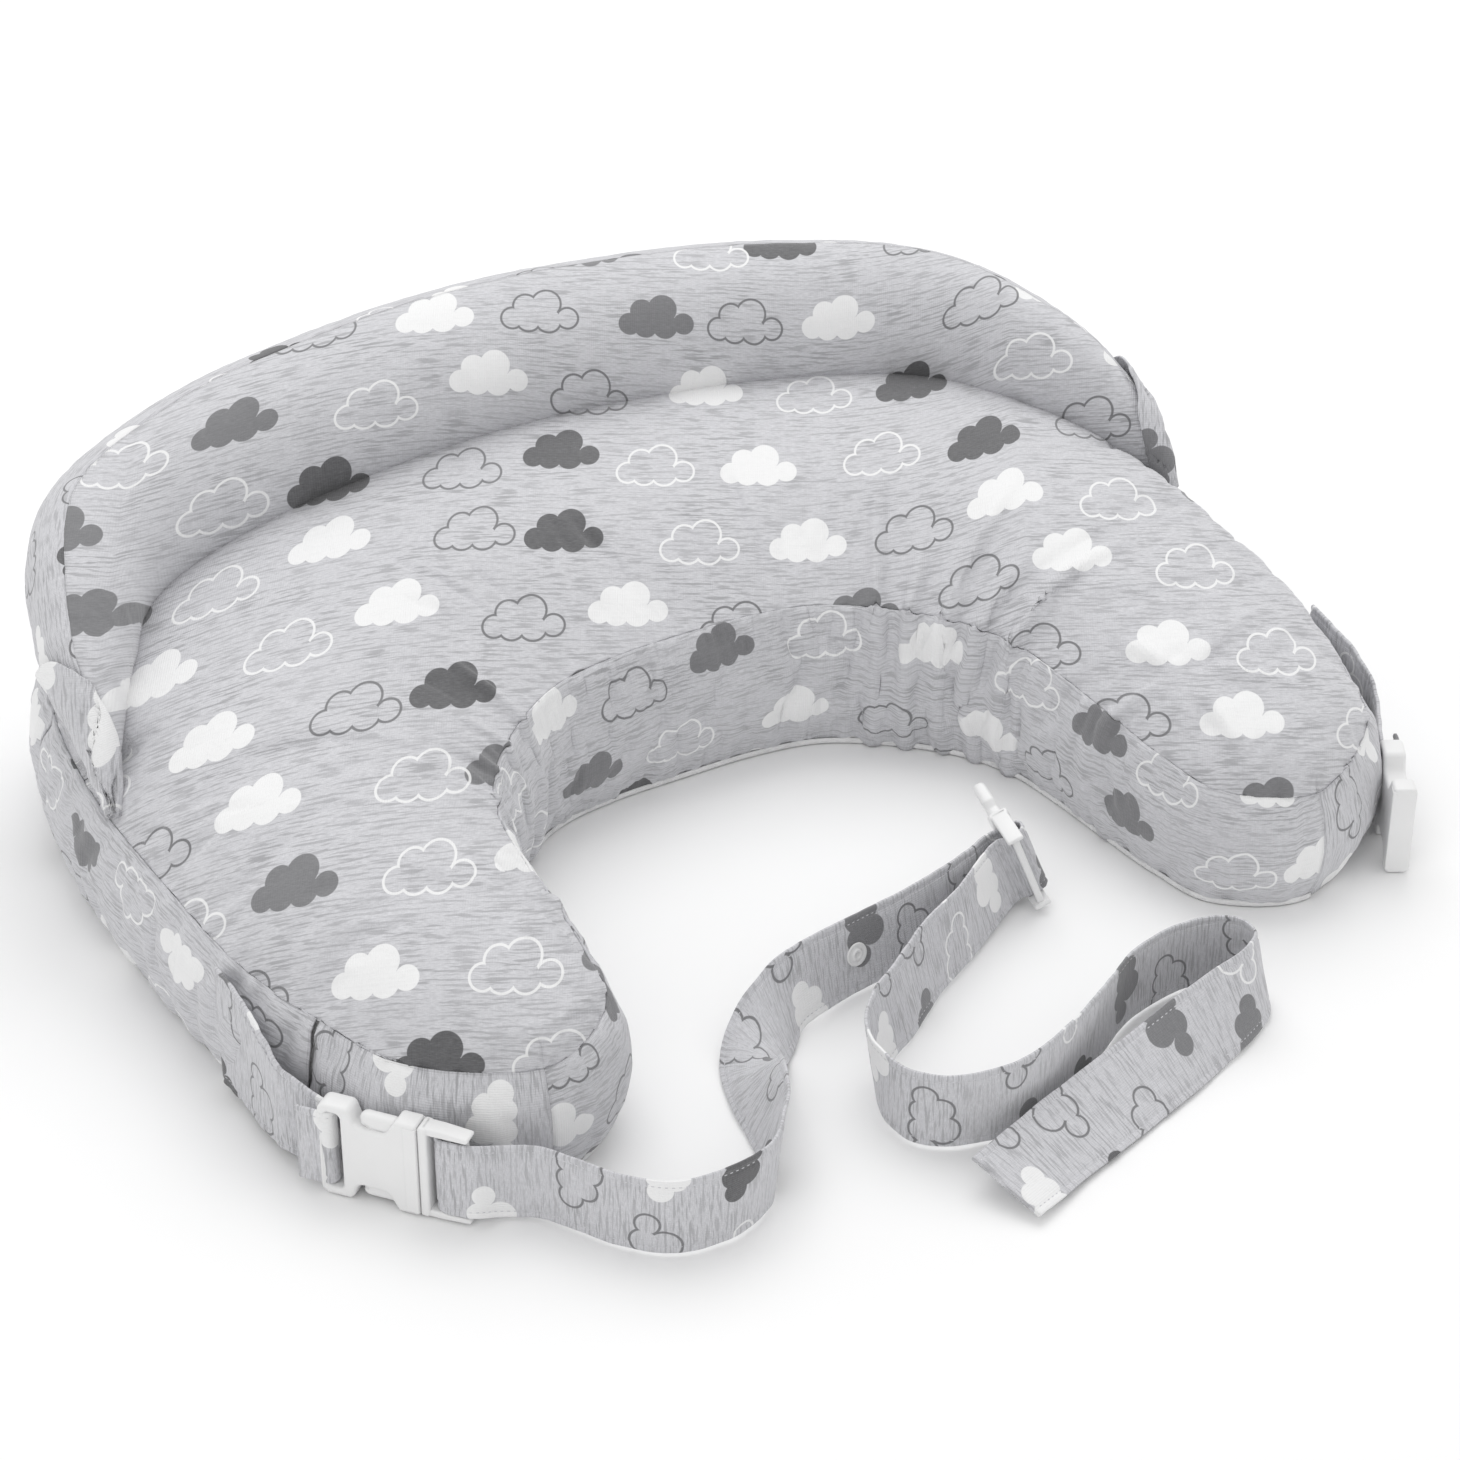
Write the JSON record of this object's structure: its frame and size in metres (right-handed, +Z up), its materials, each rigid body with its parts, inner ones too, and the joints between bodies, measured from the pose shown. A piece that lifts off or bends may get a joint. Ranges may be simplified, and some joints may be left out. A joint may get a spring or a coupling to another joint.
{
  "type": "nursing pillow",
  "caption": "U-shaped stuffed nursing pillow with a raised fence round its back, a zipped cover and a waist belt on side-release buckles.",
  "frame": {"origin": "middle of the footprint of the cushion and its two buckle sockets, on the floor that it lies on; the belt and what hangs on it are not counted", "axes": "+Z up, +Y towards the raised fence at the back, -Y towards the tips of the arms, +X to the wearer's left"},
  "size_m": [0.669, 0.6943, 0.1936],
  "materials": {
    "print_cloth": "heathered knit with a cloud print, matte",
    "white_cloth": "plain woven, matte",
    "fibre": "loose fibre filling",
    "zip_cloth": "woven tape, matte",
    "white_plastic": "moulded, satin"
  },
  "bodies": {
    "pillow": {"top_panel": "print_cloth", "bottom_panel": "white_cloth", "inner_gusset": "print_cloth", "end_gusset_left": "print_cloth", "end_gusset_right": "print_cloth", "side_band_left": "print_cloth", "side_band_right": "print_cloth", "back_panel": "print_cloth", "fence_cover": "print_cloth", "fence_core": "fibre", "liner_upper": "white_cloth", "liner_lower": "white_cloth", "filling_core": "fibre", "zip_tape_upper": "zip_cloth", "zip_tape_lower": "zip_cloth", "zip_coil": "white_plastic", "zip_stop_left": "white_plastic", "zip_stop_right": "white_plastic", "anchor_strap_left": "print_cloth", "anchor_strap_right": "print_cloth"},
    "left_socket": {"socket_left": "white_plastic"},
    "right_socket": {"socket_right": "white_plastic"},
    "belt_and_plugs": {"belt": "print_cloth", "plug_left": "white_plastic", "plug_right": "white_plastic", "snap_socket": "white_plastic", "snap_cap": "white_plastic"},
    "left_arm_upper": {"plug_left_arm_upper": "white_plastic"},
    "left_arm_lower": {"plug_left_arm_lower": "white_plastic"},
    "right_arm_upper": {"plug_right_arm_upper": "white_plastic"},
    "right_arm_lower": {"plug_right_arm_lower": "white_plastic"},
    "slider": {"zip_slider": "white_plastic"},
    "pull": {"zip_pull": "white_plastic"}
  },
  "joints": [
    {"name": "left_socket_swing", "type": "hinge", "parent": "pillow", "child": "left_socket", "pos_m": [-0.31652, -0.22207, 0.0271], "axis": [0, 0, -1], "range_deg": [0, 25]},
    {"name": "belt_release", "type": "slide", "parent": "left_socket", "child": "belt_and_plugs", "axis": [0.6198, -0.7848, 0], "range_m": [0, 0.036], "deforming": ["plug_left_arm_upper", "plug_left_arm_lower"]},
    {"name": "left_upper_arm_squeeze", "type": "hinge", "parent": "belt_and_plugs", "child": "left_arm_upper", "pos_m": [-0.28661, -0.25993, 0.0441], "axis": [-0.7848, -0.6198, 0], "range_deg": [0, 7], "stiffness_Nm_per_rad": 0.6},
    {"name": "left_lower_arm_squeeze", "type": "hinge", "parent": "belt_and_plugs", "child": "left_arm_lower", "pos_m": [-0.28661, -0.25993, 0.0101], "axis": [0.7848, 0.6198, 0], "range_deg": [0, 7], "stiffness_Nm_per_rad": 0.6},
    {"name": "right_upper_arm_squeeze", "type": "hinge", "parent": "belt_and_plugs", "child": "right_arm_upper", "pos_m": [0.09035, -0.18106, 0.04333], "axis": [-0.9097, 0.2053, -0.361], "range_deg": [0, 7], "stiffness_Nm_per_rad": 0.6},
    {"name": "right_lower_arm_squeeze", "type": "hinge", "parent": "belt_and_plugs", "child": "right_arm_lower", "pos_m": [0.10232, -0.18376, 0.01163], "axis": [0.9097, -0.2053, 0.361], "range_deg": [0, 7], "stiffness_Nm_per_rad": 0.6},
    {"name": "right_socket_swing", "type": "hinge", "parent": "pillow", "child": "right_socket", "pos_m": [0.3031, -0.23365, 0.0271], "axis": [0, 0, 1], "range_deg": [0, 40]},
    {"name": "zip_slide", "type": "hinge", "parent": "pillow", "child": "slider", "pos_m": [0, -0.2913, 0.046], "axis": [0, 0, -1], "range_deg": [0, 28.1]},
    {"name": "zip_pull_flip", "type": "hinge", "parent": "slider", "child": "pull", "pos_m": [-0.13929, 0.26454, 0.046], "axis": [0, 0, 1], "range_deg": [0, 165]}
  ],
  "couplings": [
    {"joint": "left_lower_arm_squeeze", "follows": "left_upper_arm_squeeze", "ratio": 1},
    {"joint": "right_lower_arm_squeeze", "follows": "right_upper_arm_squeeze", "ratio": 1}
  ]
}
